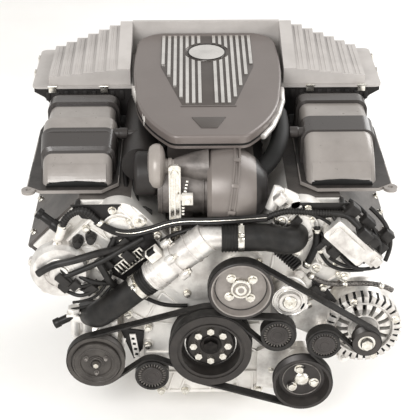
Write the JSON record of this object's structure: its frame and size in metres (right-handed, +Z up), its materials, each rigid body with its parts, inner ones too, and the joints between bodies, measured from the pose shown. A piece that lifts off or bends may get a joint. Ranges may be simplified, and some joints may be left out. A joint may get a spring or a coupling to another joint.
{
  "type": "complete v8 engine",
  "caption": "Complete V8 piston engine with belt drive, twin air ducts, ribbed top cover and turning crankshaft, camshafts and pulleys",
  "frame": {"origin": "centre of the crankshaft at the rear face of the engine block", "axes": "+Z up, -Y towards the belt drive at the front, +X towards the right bank as seen from the front"},
  "size_m": [0.727, 0.641, 0.6398],
  "materials": {
    "cast_aluminium": "fine sand-cast, dull",
    "machined_aluminium": "machined, satin",
    "forged_steel": "forged and ground",
    "dark_steel": "black oxide",
    "zinc_steel": "zinc plated",
    "cast_iron": "raw casting",
    "black_rubber": "matt, lightly ribbed",
    "black_plastic": "fine grain, matt",
    "cover_plastic": "satin grey",
    "lid_plastic": "satin light grey",
    "duct_plastic": "satin grey",
    "bright_trim": "bright metallised",
    "black_paint": "semi-gloss black"
  },
  "bodies": {
    "engine_frame": {"engine_block": "cast_aluminium", "bedplate": "cast_aluminium", "oil_pan": "cast_aluminium", "connecting_rods": "forged_steel", "cylinder_head_left": "cast_aluminium", "cylinder_head_right": "cast_aluminium", "valves": "forged_steel", "timing_chains": "dark_steel", "head_cover_left": "cast_aluminium", "head_cover_right": "cast_aluminium", "timing_case": "cast_aluminium", "upper_timing_cover_left": "cast_aluminium", "upper_timing_cover_right": "cast_aluminium", "tensioner_body": "cast_aluminium", "main_belt": "black_rubber", "compressor_belt": "black_rubber", "coolant_housing": "cast_aluminium", "coolant_hoses": "black_rubber", "alternator": "cast_aluminium", "steering_pump": "cast_aluminium", "compressor": "cast_aluminium", "vacuum_pump": "cast_aluminium", "valve_lift_motor": "cast_aluminium", "exhaust_manifolds": "cast_iron", "intake_manifold": "cast_aluminium", "throttle_body": "machined_aluminium", "throttle_stay": "zinc_steel", "intake_pipe": "duct_plastic", "airbox_base": "duct_plastic", "airbox_lid": "lid_plastic", "intake_duct_left": "duct_plastic", "intake_duct_right": "duct_plastic", "engine_cover": "cover_plastic", "cover_trim": "bright_trim", "wiring_loom": "black_rubber"},
    "crank_assembly": {"crankshaft": "forged_steel", "flywheel": "forged_steel", "crank_damper": "black_paint", "damper_bolts": "zinc_steel"},
    "water_pump_rotor": {"water_pump_pulley": "black_paint"},
    "steering_pump_rotor": {"steering_pump_pulley": "black_paint"},
    "alternator_rotor": {"alternator_pulley": "dark_steel"},
    "compressor_rotor": {"compressor_pulley": "black_paint"},
    "tensioner_lever": {"tensioner_arm": "cast_aluminium"},
    "tensioner_wheel": {"tensioner_pulley": "black_plastic"},
    "guide_wheel": {"guide_pulley": "black_plastic"},
    "ac_idler_wheel": {"ac_idler_pulley": "black_plastic"},
    "flap": {"throttle_flap": "forged_steel"},
    "intake_cam_left": {"intake_camshaft_left": "forged_steel"},
    "exhaust_cam_left": {"exhaust_camshaft_left": "forged_steel"},
    "intake_cam_right": {"intake_camshaft_right": "forged_steel"},
    "exhaust_cam_right": {"exhaust_camshaft_right": "forged_steel"},
    "piston_body_1": {"piston_1": "machined_aluminium"},
    "piston_body_2": {"piston_2": "machined_aluminium"},
    "piston_body_3": {"piston_3": "machined_aluminium"},
    "piston_body_4": {"piston_4": "machined_aluminium"},
    "piston_body_5": {"piston_5": "machined_aluminium"},
    "piston_body_6": {"piston_6": "machined_aluminium"},
    "piston_body_7": {"piston_7": "machined_aluminium"},
    "piston_body_8": {"piston_8": "machined_aluminium"}
  },
  "joints": [
    {"name": "crank_spin", "type": "hinge", "parent": "engine_frame", "child": "crank_assembly", "pos_m": [0, 0, 0], "axis": [0, 1, 0], "continuous": true, "deforming": ["connecting_rods", "valves", "timing_chains", "main_belt", "compressor_belt"]},
    {"name": "intake_cam_left_spin", "type": "hinge", "parent": "engine_frame", "child": "intake_cam_left", "pos_m": [-0.17041, -0.44, 0.22981], "axis": [0, 1, 0], "continuous": true},
    {"name": "exhaust_cam_left_spin", "type": "hinge", "parent": "engine_frame", "child": "exhaust_cam_left", "pos_m": [-0.22981, -0.44, 0.17041], "axis": [0, 1, 0], "continuous": true},
    {"name": "intake_cam_right_spin", "type": "hinge", "parent": "engine_frame", "child": "intake_cam_right", "pos_m": [0.17041, -0.44, 0.22981], "axis": [0, 1, 0], "continuous": true},
    {"name": "exhaust_cam_right_spin", "type": "hinge", "parent": "engine_frame", "child": "exhaust_cam_right", "pos_m": [0.22981, -0.44, 0.17041], "axis": [0, 1, 0], "continuous": true},
    {"name": "water_pump_spin", "type": "hinge", "parent": "engine_frame", "child": "water_pump_rotor", "pos_m": [0.056, -0.562, 0.133], "axis": [0, 1, 0], "continuous": true},
    {"name": "steering_pump_spin", "type": "hinge", "parent": "engine_frame", "child": "steering_pump_rotor", "pos_m": [0.177, -0.562, -0.08], "axis": [0, 1, 0], "continuous": true},
    {"name": "alternator_spin", "type": "hinge", "parent": "engine_frame", "child": "alternator_rotor", "pos_m": [0.296, -0.562, 0.014], "axis": [0, 1, 0], "continuous": true},
    {"name": "guide_wheel_spin", "type": "hinge", "parent": "engine_frame", "child": "guide_wheel", "pos_m": [0.216, -0.562, 0.011], "axis": [0, 1, 0], "continuous": true},
    {"name": "compressor_spin", "type": "hinge", "parent": "engine_frame", "child": "compressor_rotor", "pos_m": [-0.221, -0.536, -0.042], "axis": [0, 1, 0], "continuous": true},
    {"name": "ac_idler_spin", "type": "hinge", "parent": "engine_frame", "child": "ac_idler_wheel", "pos_m": [-0.114, -0.536, -0.075], "axis": [0, 1, 0], "continuous": true},
    {"name": "tensioner_swing", "type": "hinge", "parent": "engine_frame", "child": "tensioner_lever", "pos_m": [0.149, -0.535, 0.095], "axis": [0, 1, 0], "range_deg": [-6, 10], "deforming": ["main_belt"]},
    {"name": "tensioner_wheel_spin", "type": "hinge", "parent": "tensioner_lever", "child": "tensioner_wheel", "pos_m": [0.126, -0.562, 0.034], "axis": [0, 1, 0], "continuous": true},
    {"name": "throttle_turn", "type": "hinge", "parent": "engine_frame", "child": "flap", "pos_m": [-0.051, -0.44, 0.28], "axis": [0, 0, 1], "range_deg": [0, 80]},
    {"name": "piston_1_stroke", "type": "slide", "parent": "engine_frame", "child": "piston_body_1", "axis": [-0.7071, 0, 0.7071], "range_m": [-0.0675, 0.0152], "deforming": ["connecting_rods"]},
    {"name": "piston_2_stroke", "type": "slide", "parent": "engine_frame", "child": "piston_body_2", "axis": [-0.7071, 0, 0.7071], "range_m": [-0.0675, 0.0152], "deforming": ["connecting_rods"]},
    {"name": "piston_3_stroke", "type": "slide", "parent": "engine_frame", "child": "piston_body_3", "axis": [-0.7071, 0, 0.7071], "range_m": [-0.00902, 0.07368], "deforming": ["connecting_rods"]},
    {"name": "piston_4_stroke", "type": "slide", "parent": "engine_frame", "child": "piston_body_4", "axis": [-0.7071, 0, 0.7071], "range_m": [-0.00902, 0.07368], "deforming": ["connecting_rods"]},
    {"name": "piston_5_stroke", "type": "slide", "parent": "engine_frame", "child": "piston_body_5", "axis": [0.7071, 0, 0.7071], "range_m": [-0.0675, 0.0152], "deforming": ["connecting_rods"]},
    {"name": "piston_6_stroke", "type": "slide", "parent": "engine_frame", "child": "piston_body_6", "axis": [0.7071, 0, 0.7071], "range_m": [-0.00902, 0.07368], "deforming": ["connecting_rods"]},
    {"name": "piston_7_stroke", "type": "slide", "parent": "engine_frame", "child": "piston_body_7", "axis": [0.7071, 0, 0.7071], "range_m": [-0.0675, 0.0152], "deforming": ["connecting_rods"]},
    {"name": "piston_8_stroke", "type": "slide", "parent": "engine_frame", "child": "piston_body_8", "axis": [0.7071, 0, 0.7071], "range_m": [-0.00902, 0.07368], "deforming": ["connecting_rods"]}
  ],
  "couplings": [
    {"joint": "intake_cam_left_spin", "follows": "crank_spin", "ratio": 0.5},
    {"joint": "exhaust_cam_left_spin", "follows": "crank_spin", "ratio": 0.5},
    {"joint": "intake_cam_right_spin", "follows": "crank_spin", "ratio": 0.5},
    {"joint": "exhaust_cam_right_spin", "follows": "crank_spin", "ratio": 0.5},
    {"joint": "water_pump_spin", "follows": "crank_spin", "ratio": 1.3103},
    {"joint": "steering_pump_spin", "follows": "crank_spin", "ratio": 1.3818},
    {"joint": "alternator_spin", "follows": "crank_spin", "ratio": 3.04},
    {"joint": "guide_wheel_spin", "follows": "crank_spin", "ratio": -2.5333},
    {"joint": "compressor_spin", "follows": "crank_spin", "ratio": 1.4074},
    {"joint": "ac_idler_spin", "follows": "crank_spin", "ratio": -2.303},
    {"joint": "tensioner_wheel_spin", "follows": "crank_spin", "ratio": -2.375}
  ]
}
